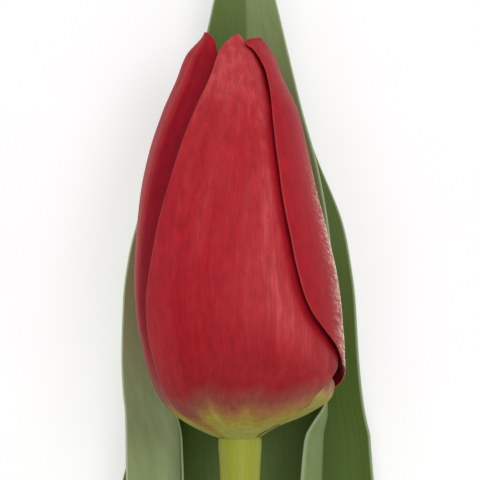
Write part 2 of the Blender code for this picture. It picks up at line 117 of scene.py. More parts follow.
# Petals. Each row: share of the bud's length, the angles of the left and right margins in degrees
# (0 at the front, 90 at the right), and the lift of the left margin, middle and right margin in
# layers.
TEPALS = {
    "front_tepal": (
        (0.000, -46, 48, 0.1, 0.1, 0.1),
        (0.038, -53, 54, 0.2, 0.1, 0.2),
        (0.062, -56, 52, 0.4, 0.2, 0.3),
        (0.104, -56, 50, 0.7, 0.2, 0.6),
        (0.150, -56.5, 62, 0.9, 0.3, 0.5),
        (0.178, -57, 73, 0.9, 0.3, 0.2),
        (0.205, -58, 76, 0.9, 0.3, 0.0),
        (0.240, -59, 75, 0.9, 0.3, -0.4),
        (0.324, -58.5, 67, 0.8, 0.3, -0.7),
        (0.416, -54.5, 61, 0.8, 0.3, -0.7),
        (0.520, -49.5, 58, 0.8, 0.2, -0.7),
        (0.611, -44, 57, 0.8, 0.2, -0.7),
        (0.725, -38.5, 55, 0.8, 0.2, -0.7),
        (0.830, -32, 55, 0.7, 0.1, -0.7),
        (0.900, -26.5, 52, 0.6, 0.1, -0.6),
        (0.938, -24.5, 43, 0.5, 0.1, -0.5),
        (0.962, -22, 30, 0.4, 0.1, -0.3),
        (0.980, -17, 11, 0.2, 0.0, -0.1),
        (0.990, -11, 3, 0.1, 0.0, 0.0),
        (0.995, -7, -3, 0.0, 0.0, 0.0),
    ),
    "right_tepal": (
        (0.000, 100, 150, 0.1, 0.1, 0.1),
        (0.030, 108, 156, 0.2, 0.1, 0.1),
        (0.080, 114, 160, 0.4, 0.2, 0.1),
        (0.115, 113, 163, 0.5, 0.2, 0.1),
        (0.145, 101, 164, 0.9, 0.4, 0.1),
        (0.165, 89, 165, 0.9, 0.4, 0.1),
        (0.185, 79, 165, 0.8, 0.4, 0.1),
        (0.203, 73, 165, 0.8, 0.3, 0.1),
        (0.225, 66, 165, 0.9, 0.3, 0.1),
        (0.264, 53, 166, 1.1, 0.2, 0.1),
        (0.317, 41.5, 166, 1.1, 0.2, 0.1),
        (0.385, 35.5, 166, 1.1, 0.2, 0.1),
        (0.476, 32, 165, 1.1, 0.1, 0.1),
        (0.610, 30, 163, 1.1, 0.1, 0.1),
        (0.760, 29, 158, 1.1, 0.1, 0.1),
        (0.850, 32, 152, 1.1, 0.1, 0.1),
        (0.890, 33, 146, 1.1, 0.1, 0.1),
        (0.926, 29, 134, 1.0, 0.2, 0.1),
        (0.950, 20, 118, 1.0, 0.2, 0.1),
        (0.963, 11, 104, 0.9, 0.3, 0.1),
        (0.971, 11, 92, 0.8, 0.3, 0.2),
        (0.978, 24, 78, 0.7, 0.3, 0.2),
        (0.982, 44, 62, 0.6, 0.4, 0.3),
    ),
    "left_tepal": (
        (0.000, -152, -60, 0.1, 0.1, 0.0),
        (0.050, -158, -60, 0.1, 0.1, -0.6),
        (0.120, -163, -54, 0.1, 0.1, -1.1),
        (0.300, -166, -45, 0.1, 0.0, -1.1),
        (0.500, -165, -38, 0.1, 0.0, -1.1),
        (0.700, -160, -29, 0.1, 0.0, -1.1),
        (0.880, -146, -24, 0.1, 0.1, -1.1),
        (0.940, -130, -28, 0.1, 0.2, -1.0),
        (0.975, -112, -42, 0.1, 0.2, -0.6),
        (0.992, -95, -58, 0.1, 0.2, -0.1),
        (1.000, -83, -70, 0.1, 0.2, 0.1),
    ),
    "inner_right_tepal": (
        (0.030, 12, 92, -1.0, -0.8, 0.1),
        (0.060, 9, 97, -1.2, -0.9, 0.3),
        (0.100, 7, 97, -1.3, -0.9, 0.3),
        (0.125, 5, 91, -1.3, -1.0, -0.2),
        (0.150, 5, 84, -1.3, -1.2, -0.9),
        (0.190, 5, 89, -1.3, -1.5, -1.1),
        (0.240, 5, 107, -1.3, -1.7, -1.2),
        (0.320, 5, 109, -1.3, -2.1, -1.2),
        (0.600, 6, 106, -1.3, -2.1, -1.2),
        (0.800, 12, 98, -1.3, -2.1, -1.2),
        (0.900, 24, 84, -1.5, -2.1, -1.5),
        (0.955, 44, 66, -2.2, -2.4, -2.2),
    ),
    "inner_left_tepal": (
        (0.030, -98, -12, -1.3, -1.6, -1.2),
        (0.100, -104, -7, -1.4, -2.3, -1.3),
        (0.300, -106, -5, -1.3, -2.3, -1.3),
        (0.600, -102, -6, -1.3, -2.3, -1.6),
        (0.800, -90, -12, -1.4, -2.5, -2.3),
        (0.900, -74, -22, -2.0, -3.0, -2.6),
        (0.965, -58, -38, -3.4, -3.6, -3.4),
    ),
    "inner_back_tepal": (
        (0.030, 132, 228, -1.1, -1.1, -1.1),
        (0.100, 124, 236, -1.4, -1.2, -1.4),
        (0.300, 120, 240, -1.5, -1.2, -1.5),
        (0.600, 122, 238, -1.5, -1.2, -1.5),
        (0.800, 132, 228, -1.6, -1.3, -1.6),
        (0.900, 147, 212, -2.0, -1.9, -2.0),
        (0.965, 170, 190, -3.1, -3.1, -3.1),
    ),
}

# Leaves. Each row: place along the flower (below zero a share of the stem's length under the bud,
# above zero a share of the bud's length), how far the leaf is held to the stem (1 wrapped round it,
# 0 free), the free keel's side place and height above the lowest leaf in mm, the widths left and
# right of the keel in mm, the roll in degrees, the bend of the left and right halves in degrees,
# and the bend's power (1 bends evenly, 2 bends most at the margin).
LEAVES = {
    "tall_leaf": (
        (-0.528, 1.00, 0.0, 0.0, 12, 12, 0, 150, 150, 1.0),
        (-0.460, 0.80, 0.0, 1.6, 14, 15, 0, 125, 125, 1.0),
        (-0.330, 0.30, 0.3, 1.6, 16, 19, 0, 105, 135, 1.3),
        (-0.150, 0.05, 0.6, 1.5, 16, 21, 0, 115, 168, 1.8),
        (-0.045, 0.00, 0.6, 1.5, 14, 21.5, 0, 111, 170, 2.0),
        (0.040, 0.00, 0.6, 1.5, 14.2, 21, 0, 98, 142, 2.0),
        (0.090, 0.00, 0.6, 1.5, 14.6, 18, 0, 78, 100, 2.0),
        (0.140, 0.00, 0.6, 1.5, 15, 16.8, 0, 70, 78, 2.0),
        (0.250, 0.00, 0.6, 1.5, 15.5, 16.5, 0, 60, 65, 2.0),
        (0.450, 0.00, 0.6, 1.5, 15.2, 15.2, 0, 50, 50, 2.0),
        (0.650, 0.00, 0.6, 1.8, 12.9, 12.9, 0, 40, 40, 1.6),
        (0.830, 0.00, 0.6, 3.2, 9.1, 9.6, 0, 35, 35, 1.2),
        (1.080, 0.00, 0.5, 6.4, 5.0, 5.6, 0, 30, 30, 0.9),
        (1.250, 0.00, 0.5, 8.4, 2.6, 2.6, 0, 25, 25, 0.9),
        (1.420, 0.00, 0.4, 9.8, 0.5, 0.5, 0, 20, 20, 0.9),
    ),
    "right_leaf": (
        (-0.717, 1.00, 0.0, 0.0, 12, 12, 40, 100, 135, 1.0),
        (-0.690, 0.90, 6.0, 1.5, 11, 14, 39, 80, 115, 1.0),
        (-0.660, 0.70, 7.5, 1.0, 10, 16, 32, 45, 90, 1.1),
        (-0.600, 0.30, 9.0, 0.7, 9, 18, 14, 18, 60, 1.3),
        (-0.500, 0.08, 9.0, 0.2, 9, 20, 3, 5, 45, 1.7),
        (-0.300, 0.00, 9.0, 0.0, 9, 21, 0, 2, 35, 2.0),
        (-0.120, 0.00, 9.0, 0.0, 9, 18, 0, 2, 35, 2.0),
        (-0.026, 0.00, 8.0, 0.0, 9, 13.9, 0, 2, 32, 2.0),
        (0.055, 0.00, 7.3, 0.0, 9, 13.2, 0, 2, 31, 2.0),
        (0.120, 0.00, 7.0, 0.0, 9, 12.9, 0, 2, 30, 2.0),
        (0.200, 0.00, 6.8, 0.0, 9, 12.6, 0, 2, 28, 2.0),
        (0.340, 0.00, 6.7, 0.0, 9, 12.1, 0, 2, 25, 2.0),
        (0.430, 0.00, 6.8, 0.0, 8.5, 11.2, 0, 2, 22, 2.0),
        (0.530, 0.00, 7.0, 0.0, 7.6, 9.7, 0, 2, 20, 2.0),
        (0.690, 0.00, 7.0, 0.0, 5.0, 5.6, 0, 2, 15, 1.5),
        (0.800, 0.00, 7.0, 0.0, 2.7, 2.9, 0, 2, 10, 1.2),
        (0.900, 0.00, 7.0, 0.0, 0.5, 0.5, 0, 2, 5, 1.0),
    ),
    "left_leaf": (
        (-0.623, 1.00, 0.0, 0.0, 12, 12, -90, 140, 140, 1.0),
        (-0.575, 0.80, -10.0, 7.0, 13, 12, -88, 95, 105, 1.0),
        (-0.530, 0.55, -12.0, 6.5, 13, 12, -84, 75, 95, 1.0),
        (-0.470, 0.33, -13.5, 6.0, 16, 12, -78, 78, 90, 0.9),
        (-0.330, 0.08, -15.0, 4.9, 18, 10, -66, 78, 80, 0.9),
        (-0.200, 0.02, -14.2, 4.8, 14, 6.6, -50, 58, 62, 1.0),
        (-0.100, 0.00, -13.7, 4.2, 10, 5.4, -40, 44, 50, 1.0),
        (-0.026, 0.00, -13.5, 3.6, 7.2, 4.8, -32, 34, 44, 1.0),
        (0.055, 0.00, -13.5, 3.0, 6.8, 4.6, -29, 30, 42, 1.0),
        (0.110, 0.00, -13.6, 2.7, 7.0, 4.6, -28, 29, 40, 1.0),
        (0.190, 0.00, -13.7, 2.4, 7.1, 4.6, -28, 28, 40, 1.0),
        (0.340, 0.00, -13.5, 2.2, 7.0, 4.4, -28, 28, 40, 1.0),
        (0.440, 0.00, -13.0, 2.1, 6.6, 4.2, -28, 28, 40, 1.0),
        (0.550, 0.00, -12.2, 2.1, 5.3, 4.0, -28, 28, 38, 1.0),
        (0.680, 0.00, -11.0, 2.2, 3.0, 3.0, -28, 26, 36, 1.0),
        (0.780, 0.00, -10.2, 2.2, 0.5, 0.5, -33, 25, 30, 1.0),
    ),
    "low_leaf": (
        (-0.774, 1.00, 0.0, 0.0, 12, 12, -60, 125, 120, 1.0),
        (-0.740, 0.75, -9.0, 3.0, 12, 6, -60, 90, 55, 1.0),
        (-0.700, 0.45, -11.0, 2.0, 14, 6, -44, 75, 40, 1.0),
        (-0.650, 0.20, -12.0, 0.9, 17, 7, -18, 52, 16, 1.3),
        (-0.550, 0.03, -13.0, 0.1, 18, 8, -2, 38, 4, 1.7),
        (-0.350, 0.00, -14.5, 0.0, 17, 9, 0, 30, 2, 2.0),
        (-0.150, 0.00, -16.0, 0.0, 11, 8, 0, 25, 2, 2.0),
        (-0.026, 0.00, -15.0, 0.0, 3.8, 3.8, 0, 15, 2, 2.0),
        (0.040, 0.00, -14.3, 0.0, 0.5, 0.5, 0, 5, 2, 1.0),
    ),
}


# ---------------------------------------------------------------------------------------------
# Shapes
# ---------------------------------------------------------------------------------------------

def read_rows(rows, key):
    """Read every column of a table at an array of keys, on smooth curves that never overshoot."""
    table = np.array(rows, float)
    keys, columns = table[:, 0], table[:, 1:]
    key = np.clip(key, keys[0], keys[-1])
    gap = np.diff(keys)
    rise = np.diff(columns, axis=0) / gap[:, None]
    slope = np.zeros_like(columns)
    before, after = rise[:-1], rise[1:]
    same = before * after > 0
    slope[1:-1][same] = (2 * before * after)[same] / (before + after)[same]
    low = np.clip(np.searchsorted(keys, key, side="right") - 1, 0, len(gap) - 1)
    step = gap[low][:, None]
    t = (key - keys[low])[:, None] / step
    values = (
        (2 * t**3 - 3 * t**2 + 1) * columns[low]
        + (t**3 - 2 * t**2 + t) * slope[low] * step
        + (3 * t**2 - 2 * t**3) * columns[low + 1]
        + (t**3 - t**2) * slope[low + 1] * step
    )
    return values.T


def mix(a, b, share):
    return a + (b - a) * share


def ease(value, low, high):
    """0 below low, 1 above high, smooth between; high may be the smaller."""
    t = np.clip((value - low) / (high - low), 0.0, 1.0)
    return t * t * (3 - 2 * t)


def unit(vectors):
    return vectors / np.maximum(np.linalg.norm(vectors, axis=1, keepdims=True), 1e-12)


def stem_height(y):
    t = np.clip(1 + y / STEM_LENGTH, 0.0, 1.0)
    return mix(STEM_CUT_RADIUS, BUD_HEIGHT, t * t * (3 - 2 * t))


def stem_radius(y):
    return mix(STEM_CUT_RADIUS, STEM_TOP_RADIUS, np.clip(1 + y / STEM_LENGTH, 0.0, 1.0))


def bud_surface(share, angle):
    left, right, depth = read_rows(BUD_OUTLINE, share)
    side = np.where(np.sin(angle) >= 0, right, left) * BUD_HALF_WIDTH
    return np.stack([
        side * np.sin(angle),
        share * BUD_LENGTH,
        BUD_HEIGHT + depth * BUD_HALF_DEPTH * np.cos(angle),
    ], axis=1)


def bud_normal(share, angle):
    low, high = np.maximum(share - 0.004, 0.0), np.minimum(share + 0.004, 1.0)
    along = bud_surface(high, angle) - bud_surface(low, angle)
    around = bud_surface(share, angle + 0.02) - bud_surface(share, angle - 0.02)
    return unit(np.cross(around, along))


def petal_points(rows, share, across, relief):
    """Places on a petal for arrays of share (of the bud's length) and across (-1 left to 1 right).

    relief(share, across) gives the height of its veins and waves, in metres.
    """
    left, right, lift_left, lift_middle, lift_right = read_rows(rows, share)
    angle = np.radians(mix(left, right, (across + 1) / 2))
    lift = mix(lift_middle, np.where(across < 0, lift_left, lift_right), across**2)
    rise = lift * TEPAL_LAYER + relief(share, across)
    return bud_surface(share, angle) + bud_normal(share, angle) * rise[:, None]


def leaf_points(rows, place, across, steps=16):
    """Places on a leaf for arrays of place (along the flower) and across (-1 left to 1 right)."""
    hold, x, height, left, right, roll, bend_left, bend_right, power = read_rows(rows, place)
    y = place * np.where(place < 0, STEM_LENGTH, BUD_LENGTH)
    sheath = stem_radius(y) + CLEARANCE * 2 + LEAF_THICKNESS / 2
    turn = np.radians(roll)
    keel_x = mix(x * MM, sheath * np.sin(turn), hold)
    keel_z = mix(FLOOR_LEAF + height * MM, stem_height(y) - sheath * np.cos(turn), hold)
    side = np.where(across < 0, -1.0, 1.0)
    bend = np.radians(np.where(across < 0, bend_left, bend_right))
    width = mix(np.where(across < 0, left, right) * MM, sheath * bend, hold)
    out, up = np.zeros_like(y), np.zeros_like(y)
    for i in range(steps):
        reach = np.abs(across) * (i + 0.5) / steps
        slope = side * turn + bend * reach**power
        out += np.cos(slope) * np.abs(across) * width / steps
        up += np.sin(slope) * np.abs(across) * width / steps
    return np.stack([keel_x + side * out, y, keel_z + up], axis=1)


def grid_normals(points, rows, columns):
    """Unit normals of a grid of points kept row by row."""
    net = points.reshape(rows, columns, 3)
    along = np.gradient(net, axis=0).reshape(-1, 3)
    across = np.gradient(net, axis=1).reshape(-1, 3)
    return unit(np.cross(across, along))


def waves(value, counts, seed):
    """A few cosine waves of the given counts with scattered phases and strengths, about -1 to 1."""
    chance = np.random.RandomState(seed)
    total = np.zeros_like(value)
    for count in counts:
        total += chance.uniform(0.4, 1.0) * np.cos(math.pi * count * value + chance.uniform(0, 6.3))
    return total / (0.7 * len(counts))


def lay_sheet(name, rows, columns, place, first, last, crowding):
    """Add a grid and lay each of its corners where place(along, across) says; keep both numbers
    on the mesh as attributes, for the materials."""
    bpy.ops.object.select_all(action="DESELECT")
    bpy.ops.mesh.primitive_grid_add(x_subdivisions=columns, y_subdivisions=rows, size=2)
    piece = bpy.context.object
    piece.name = piece.data.name = name
    mesh = piece.data
    flat = np.empty(len(mesh.vertices) * 3)
    mesh.vertices.foreach_get("co", flat)
    flat = flat.reshape(-1, 3)
    across, climb = flat[:, 0], (flat[:, 1] + 1) / 2
    climb = mix(climb, climb * climb * (3 - 2 * climb), crowding)
    along = mix(first, last, climb)
    places = place(along, across) + np.array(BUD_BASE)
    mesh.vertices.foreach_set("co", places.ravel())
    for label, values in (("along", along), ("across", across)):
        mesh.attributes.new(label, "FLOAT", "POINT").data.foreach_set("value", values)
    mesh.update()
    return piece, along, across


def thicken(piece, thickness, weights):
    """Give a sheet its wall, thinner where its weight is lower, and apply it."""
    group = piece.vertex_groups.new(name="body")
    for index, weight in enumerate(weights):
        group.add([index], float(weight), "REPLACE")
    wall = piece.modifiers.new("Wall", "SOLIDIFY")
    wall.thickness = thickness
    wall.offset = 0.0
    wall.vertex_group = "body"
    wall.thickness_vertex_group = 0.35
    bpy.ops.object.modifier_apply(modifier="Wall")
    bpy.ops.object.shade_smooth()


def keep(piece, slot, *nodes):
    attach(piece, "root")
    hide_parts(*nodes)


# ---------------------------------------------------------------------------------------------
# Materials
# ---------------------------------------------------------------------------------------------

def feed(tree, node, inputs):
    """Give a node's inputs their values, or link them to other nodes' outputs."""
    for key, value in inputs.items():
        if isinstance(value, bpy.types.NodeSocket):
            tree.links.new(value, node.inputs[key])
        else:
            node.inputs[key].default_value = value


def wire(tree, kind, inputs=None, **settings):
    """Add a node, set it and feed its inputs."""
    node = tree.nodes.new(kind)
    for key, value in settings.items():
        setattr(node, key, value)
    feed(tree, node, inputs or {})
    return node


def number(tree, operation, a, b=0.0, clamp=False):
    node = wire(tree, "ShaderNodeMath", {0: a, 1: b}, operation=operation, use_clamp=clamp)
    return node.outputs[0]


def blend(tree, factor, a, b, mode="MIX"):
    node = wire(tree, "ShaderNodeMix", data_type="RGBA", blend_type=mode)
    feed(tree, node, {0: factor, 6: a, 7: b})
    return node.outputs[2]


def ramp(tree, factor, stops, interpolation="LINEAR"):
    """A colour ramp from (place, colour) stops."""
    node = wire(tree, "ShaderNodeValToRGB", {"Fac": factor})
    band = node.color_ramp
    band.interpolation = interpolation
    while len(band.elements) < len(stops):
        band.elements.new(0.5)
    for element, (place, colour) in zip(band.elements, stops):
        element.position = place
        element.color = colour
    return node.outputs["Color"]


def grey(value):
    return (value, value, value, 1.0)


def shader_group(name, inputs, outputs, build):
    """The shader group of this name, made once: inputs are (label, default) pairs, outputs are
    labels, and those called Colour or ending in colour are colours. build(tree, given) returns
    the sockets that feed the outputs."""
    tree = bpy.data.node_groups.get(name)
    if tree:
        return tree
    tree = bpy.data.node_groups.new(name, "ShaderNodeTree")

    def kind(label):
        return "NodeSocketColor" if label.lower().endswith("colour") else "NodeSocketFloat"

    for label, default in inputs:
        socket = tree.interface.new_socket(label, in_out="INPUT", socket_type=kind(label))
        socket.default_value = default
    for label in outputs:
        tree.interface.new_socket(label, in_out="OUTPUT", socket_type=kind(label))
    results = build(tree, tree.nodes.new("NodeGroupInput").outputs)
    out = tree.nodes.new("NodeGroupOutput")
    for label, result in zip(outputs, results):
        tree.links.new(result, out.inputs[label])
    return tree


def place_group(tree, group, inputs):
    node = wire(tree, "ShaderNodeGroup", node_tree=group)
    feed(tree, node, inputs)
    return node.outputs


def build_veins(tree, given):
    place = wire(tree, "ShaderNodeCombineXYZ", {
        "X": number(tree, "MULTIPLY", given["Across"], given["Count"]),
        "Y": number(tree, "MULTIPLY", given["Along"], given["Stretch"]),
    }).outputs[0]
    streak = wire(tree, "ShaderNodeTexNoise", {
        "Vector": place, "Scale": 1.0, "Detail": 3.0, "Roughness": 0.6,
    }).outputs["Fac"]
    centred = number(tree, "SUBTRACT", streak, 0.5)
    strength = number(tree, "MULTIPLY", centred, given["Contrast"])
    level = number(tree, "ADD", number(tree, "MULTIPLY", strength, 4.0), 1.0)
    shade = wire(tree, "ShaderNodeVectorMath", {0: given["Colour"]}, operation="SCALE")
    tree.links.new(level, shade.inputs["Scale"])
    return shade.outputs[0], streak


def veined(tree, colour, along, across, count, stretch, contrast):
    """Veins that run the length of a blade: the colour with them, and their height."""
    group = shader_group("fine veins", (
        ("Colour", (0.5, 0.5, 0.5, 1)), ("Along", 0.0), ("Across", 0.0),
        ("Count", 60.0), ("Stretch", 3.0), ("Contrast", 0.2),
    ), ("Colour", "Height"), build_veins)
    outputs = place_group(tree, group, {
        "Colour": colour, "Along": along, "Across": across,
        "Count": count, "Stretch": stretch, "Contrast": contrast,
    })
    return outputs["Colour"], outputs["Height"]


def build_margin(tree, given):
    edge = wire(tree, "ShaderNodeMapRange", {
        "Value": number(tree, "ABSOLUTE", given["Across"]),
        "From Min": given["Start"], "From Max": given["Full"],
    }).outputs["Result"]
    strength = number(tree, "MULTIPLY", edge, given["Strength"])
    return (blend(tree, strength, given["Colour"], given["Margin colour"]),)


def with_margin(tree, colour, across, margin, start, full, strength):
    """A blade's colour with a pale line along both of its thin margins: partly the margins' own paler
    colour, partly a painted edge highlight.
    """
    group = shader_group("thin margin", (
        ("Colour", (0.5, 0.5, 0.5, 1)), ("Across", 0.0), ("Margin colour", (0.5, 0.5, 0.4, 1)),
        ("Start", 0.97), ("Full", 1.0), ("Strength", 0.5),
    ), ("Colour",), build_margin)
    return place_group(tree, group, {
        "Colour": colour, "Across": across, "Margin colour": margin,
        "Start": start, "Full": full, "Strength": strength,
    })["Colour"]


def new_material(name, roughness, specular=0.5, flesh=0.0, flesh_radius=(1.0, 0.3, 0.2)):
    """A material with its Principled shader set; returns it with its tree and shader."""
    material = bpy.data.materials.new(name)
    material.use_nodes = True
    tree = material.node_tree
    shader = tree.nodes["Principled BSDF"]
    shader.inputs["Roughness"].default_value = roughness
    shader.inputs["Specular IOR Level"].default_value = specular
    shader.inputs["Subsurface Weight"].default_value = flesh
    shader.inputs["Subsurface Radius"].default_value = flesh_radius
    shader.inputs["Subsurface Scale"].default_value = FLESH_DEPTH
    return material, tree, shader


def attribute(tree, name):
    """The value painted on the piece under this name."""
    return wire(tree, "ShaderNodeAttribute", attribute_name=name).outputs["Fac"]


def bump(tree, shader, height, strength, distance):
    """Gives the shader a normal from a height."""
    node = wire(tree, "ShaderNodeBump", {
        "Height": height, "Strength": strength, "Distance": distance,
    })
    tree.links.new(node.outputs["Normal"], shader.inputs["Normal"])


def object_noise(tree, scale, detail=3.0, stretch=1.0, turn=0.0):
    """Noise on the object's coordinates, drawn out along a line turned from the Y axis."""
    place = wire(tree, "ShaderNodeTexCoord").outputs["Object"]
    place = wire(tree, "ShaderNodeMapping", {
        "Vector": place, "Rotation": (0.0, 0.0, math.radians(turn)), "Scale": (1.0, stretch, 1.0),
    }, vector_type="TEXTURE").outputs[0]
    return wire(tree, "ShaderNodeTexNoise", {
        "Vector": place, "Scale": scale, "Detail": detail, "Roughness": 0.55,
    }).outputs["Fac"]


def petal_material(name, colours):
    """Red petal flesh: yellow-green foot, brown turn into red, fine veins and paler margins, with
    painted shade, a painted highlight and a painted rim highlight.
    """
    material, tree, shader = new_material(
        name, roughness=0.46, specular=0.085, flesh=0.05,
    )
    along, across = attribute(tree, "along"), attribute(tree, "across")
    shade, foot = attribute(tree, "shade"), attribute(tree, "foot")
    ragged = number(tree, "SUBTRACT", object_noise(tree, 330, 5, 3.3), 0.5)
    climb = number(tree, "SUBTRACT", along, foot)
    climb = number(tree, "ADD", climb, number(tree, "MULTIPLY", ragged, 0.05))
    red = tuple(colours.petal_red)
    body = ramp(tree, climb, (
        (0.000, tuple(colours.petal_foot)),
        (0.025, (0.40, 0.32, 0.060, 1)),
        (0.052, (0.33, 0.15, 0.050, 1)),
        (0.080, (0.25, 0.058, 0.040, 1)),
        # From here the red deepens towards the foot: partly the petal's own colour, partly painted shade
        # where the petal curves under
        (0.120, (0.29, 0.014, 0.016, 1)),
        (0.220, (0.35, 0.010, 0.016, 1)),
        (0.450, red),
        (1.000, red),
    ))
    red_part = ramp(tree, climb, ((0.05, grey(0)), (0.12, grey(1))))
    patch = ramp(tree, object_noise(tree, 120, 4, 4), ((0.38, grey(0)), (0.66, grey(1))))
    thread = ramp(tree, object_noise(tree, 950, 4, 16), ((0.48, grey(0)), (0.68, grey(1))))
    # Paler blush: random patches, and painted highlight where the shade is below zero, where the fine
    # threads drawn in are strongest
    pale = number(
        tree, "ADD", number(tree, "MULTIPLY", patch, 0.20), number(tree, "MULTIPLY", shade, -1.0),
    )
    drawn = number(tree, "ADD", number(tree, "MULTIPLY", shade, -1.4), 0.12, clamp=True)
    pale = number(tree, "ADD", pale, number(tree, "MULTIPLY", thread, drawn))
    pale = number(tree, "MULTIPLY", pale, red_part, clamp=True)
    body = blend(tree, pale, body, tuple(colours.petal_blush_and_highlight))
    # Painted shade: maroon where the shade is above zero, in folds, beside overlapping margins and
    # inside the bud
    deep = number(tree, "MULTIPLY", shade, red_part, clamp=True)
    body = blend(tree, deep, body, tuple(colours.petal_deep))
    # Painted rim highlight: pale streaks down the right petal's side where it turns from view
    streak = ramp(tree, object_noise(tree, 620, 4, 0.20, -40), ((0.44, grey(0)), (0.64, grey(1))))
    rim_highlight = attribute(tree, "rim_highlight")
    rim = number(tree, "MULTIPLY", number(tree, "POWER", rim_highlight, 5.0), 0.35)
    rim_highlight = number(tree, "ADD", number(tree, "MULTIPLY", rim_highlight, streak), rim, clamp=True)
    body = blend(tree, rim_highlight, body, tuple(colours.petal_rim_highlight))
    body, height = veined(tree, body, along, across, 48.0, 7.0, 0.11)
    fleck = ramp(tree, object_noise(tree, 900, 2, 2), ((0.30, grey(0.86)), (0.70, grey(1.08))))
    body = blend(tree, 1.0, body, fleck, "MULTIPLY")
    # Painted edge highlight: a pale line along the petal margins
    body = with_margin(tree, body, across, (0.45, 0.10, 0.09, 1), 0.985, 0.999, 0.35)
    tree.links.new(body, shader.inputs["Base Color"])
    bump(tree, shader, height, 0.30, 0.0002)
    return material


def leaf_material(name, colours):
    """Leaf green under pale waxy bloom and painted light and shade, with veins the length of the blade.
    """
    material, tree, shader = new_material(name, roughness=0.55, specular=0.28)
    along, across = attribute(tree, "along"), attribute(tree, "across")
    wax_and_painted_light = attribute(tree, "wax_and_painted_light")
    patches = number(tree, "ADD", object_noise(tree, 70, 4, 4), object_noise(tree, 520, 4, 5, 20))
    patches = number(tree, "MULTIPLY", number(tree, "SUBTRACT", patches, 1.0), 0.6)
    amount = number(tree, "MULTIPLY", wax_and_painted_light, number(tree, "ADD", patches, 1.0), clamp=True)
    green = blend(tree, amount, tuple(colours.leaf_green), tuple(colours.leaf_wax))
    green, height = veined(tree, green, along, across, 34.0, 3.5, 0.10)
    green = with_margin(tree, green, across, (0.42, 0.50, 0.30, 1), 0.965, 0.995, 0.6)
    tree.links.new(green, shader.inputs["Base Color"])
    bump(tree, shader, height, 0.2, 0.0002)
    return material


def stem_material(colours):
    """Yellow-green stem with faint stripes along it, paler where it was cut."""
    material, tree, shader = new_material("stem skin", roughness=0.45, specular=0.30, flesh=0.1,
                                          flesh_radius=(0.8, 1.0, 0.3))
    along, across = attribute(tree, "along"), attribute(tree, "across")
    colour, height = veined(tree, tuple(colours.stem_green), along, across, 9.0, 2.0, 0.12)
    pith = attribute(tree, "pith")
    colour = blend(tree, pith, colour, (0.50, 0.56, 0.26, 1))
    tree.links.new(colour, shader.inputs["Base Color"])
    bump(tree, shader, height, 0.2, 0.0002)
    return material


def heart_material(name, dark, light, scale):
    material, tree, shader = new_material(name, roughness=0.7, specular=0.3)
    grain = object_noise(tree, scale, 4)
    colour = ramp(tree, grain, ((0.3, dark), (0.7, light)))
    tree.links.new(colour, shader.inputs["Base Color"])
    bump(tree, shader, grain, 0.4, 0.0003)
    return material


# ---------------------------------------------------------------------------------------------
# Properties
# ---------------------------------------------------------------------------------------------

class TulipSizes(bpy.types.PropertyGroup):
    petal_wall: bpy.props.FloatProperty(
        name="Petal wall", description="Thickness in the middle of a petal",
        default=TEPAL_THICKNESS, subtype="DISTANCE", unit="LENGTH",
    )
    leaf_wall: bpy.props.FloatProperty(
        name="Leaf wall", description="Thickness in the middle of a leaf",
        default=LEAF_THICKNESS, subtype="DISTANCE", unit="LENGTH",
    )
    vein_relief: bpy.props.FloatProperty(
        name="Vein relief", description="Height of a petal's larger veins",
        default=0.022 * MM, subtype="DISTANCE", unit="LENGTH",
    )
    view_width: bpy.props.FloatProperty(
        name="View width", description="Width of the camera's view at the bud",
        default=BUD_LENGTH * 1.188, subtype="DISTANCE", unit="LENGTH",
    )
    camera_height: bpy.props.FloatProperty(
        name="Camera height", description="Height of the camera above the bud",
        default=0.9, subtype="DISTANCE", unit="LENGTH",
    )


class TulipColours(bpy.types.PropertyGroup):
    petal_red: bpy.props.FloatVectorProperty(
        name="Petal red", description="Middle of a petal", size=4, subtype="COLOR",
        default=(0.40, 0.012, 0.021, 1),
    )
    # Blush colour of random paler patches, also the colour of the painted highlight
    petal_blush_and_highlight: bpy.props.FloatVectorProperty(
        name="Petal blush", description="Paler patches of a petal", size=4, subtype="COLOR",
        default=(0.52, 0.065, 0.070, 1),
    )
    petal_deep: bpy.props.FloatVectorProperty(
        name="Petal maroon", description="Shaded folds and inner petals", size=4, subtype="COLOR",
        default=(0.27, 0.004, 0.014, 1),
    )
    # Colour of the painted rim highlight
    petal_rim_highlight: bpy.props.FloatVectorProperty(
        name="Petal fringe", description="Pale streaks down the side of a petal", size=4,
        subtype="COLOR",
        default=(0.92, 0.66, 0.52, 1),
    )
    petal_foot: bpy.props.FloatVectorProperty(
        name="Petal foot", description="Foot of a petal", size=4, subtype="COLOR",
        default=(0.36, 0.36, 0.085, 1),
    )
    leaf_green: bpy.props.FloatVectorProperty(
        name="Leaf green", description="Bare leaf", size=4, subtype="COLOR",
        default=(0.072, 0.125, 0.014, 1),
    )
    leaf_wax: bpy.props.FloatVectorProperty(
        name="Leaf wax", description="Leaf under its pale waxy bloom", size=4, subtype="COLOR",
        default=(0.45, 0.53, 0.27, 1),
    )
    stem_green: bpy.props.FloatVectorProperty(
        name="Stem green", description="Stem skin", size=4, subtype="COLOR",
        default=(0.28, 0.30, 0.022, 1),
    )


# ---------------------------------------------------------------------------------------------
# Operators
# ---------------------------------------------------------------------------------------------

